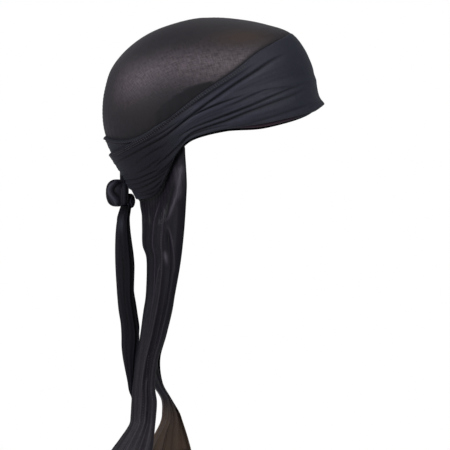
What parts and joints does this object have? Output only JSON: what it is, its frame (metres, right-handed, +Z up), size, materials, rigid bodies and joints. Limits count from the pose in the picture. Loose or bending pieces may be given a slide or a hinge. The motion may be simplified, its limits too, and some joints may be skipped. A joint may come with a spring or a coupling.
{
  "type": "durag",
  "caption": "Soft head wrap as worn: crown panels under a centre seam, wrapped straps knotted at the nape, and a flap hanging behind the neck.",
  "frame": {"origin": "the point inside the crown that rests on the top of the head", "axes": "+X to the wearer's front, +Y to the wearer's left, +Z up"},
  "size_m": [0.2061, 0.1716, 0.4151],
  "materials": {
    "crown_cloth": "thin silky weave with a soft sheen",
    "strap_cloth": "doubled silky weave, gathered",
    "flap_cloth": "silky weave with a satin sheen on its ridges"
  },
  "bodies": {
    "root": {"crown_right": "crown_cloth", "crown_left": "crown_cloth", "centre_seam": "crown_cloth", "inner_strap": "strap_cloth", "outer_strap": "strap_cloth", "flap_right": "flap_cloth", "flap_left": "flap_cloth", "knot": "strap_cloth", "tie_end_right": "strap_cloth", "tie_end_left": "strap_cloth"}
  },
  "joints": []
}
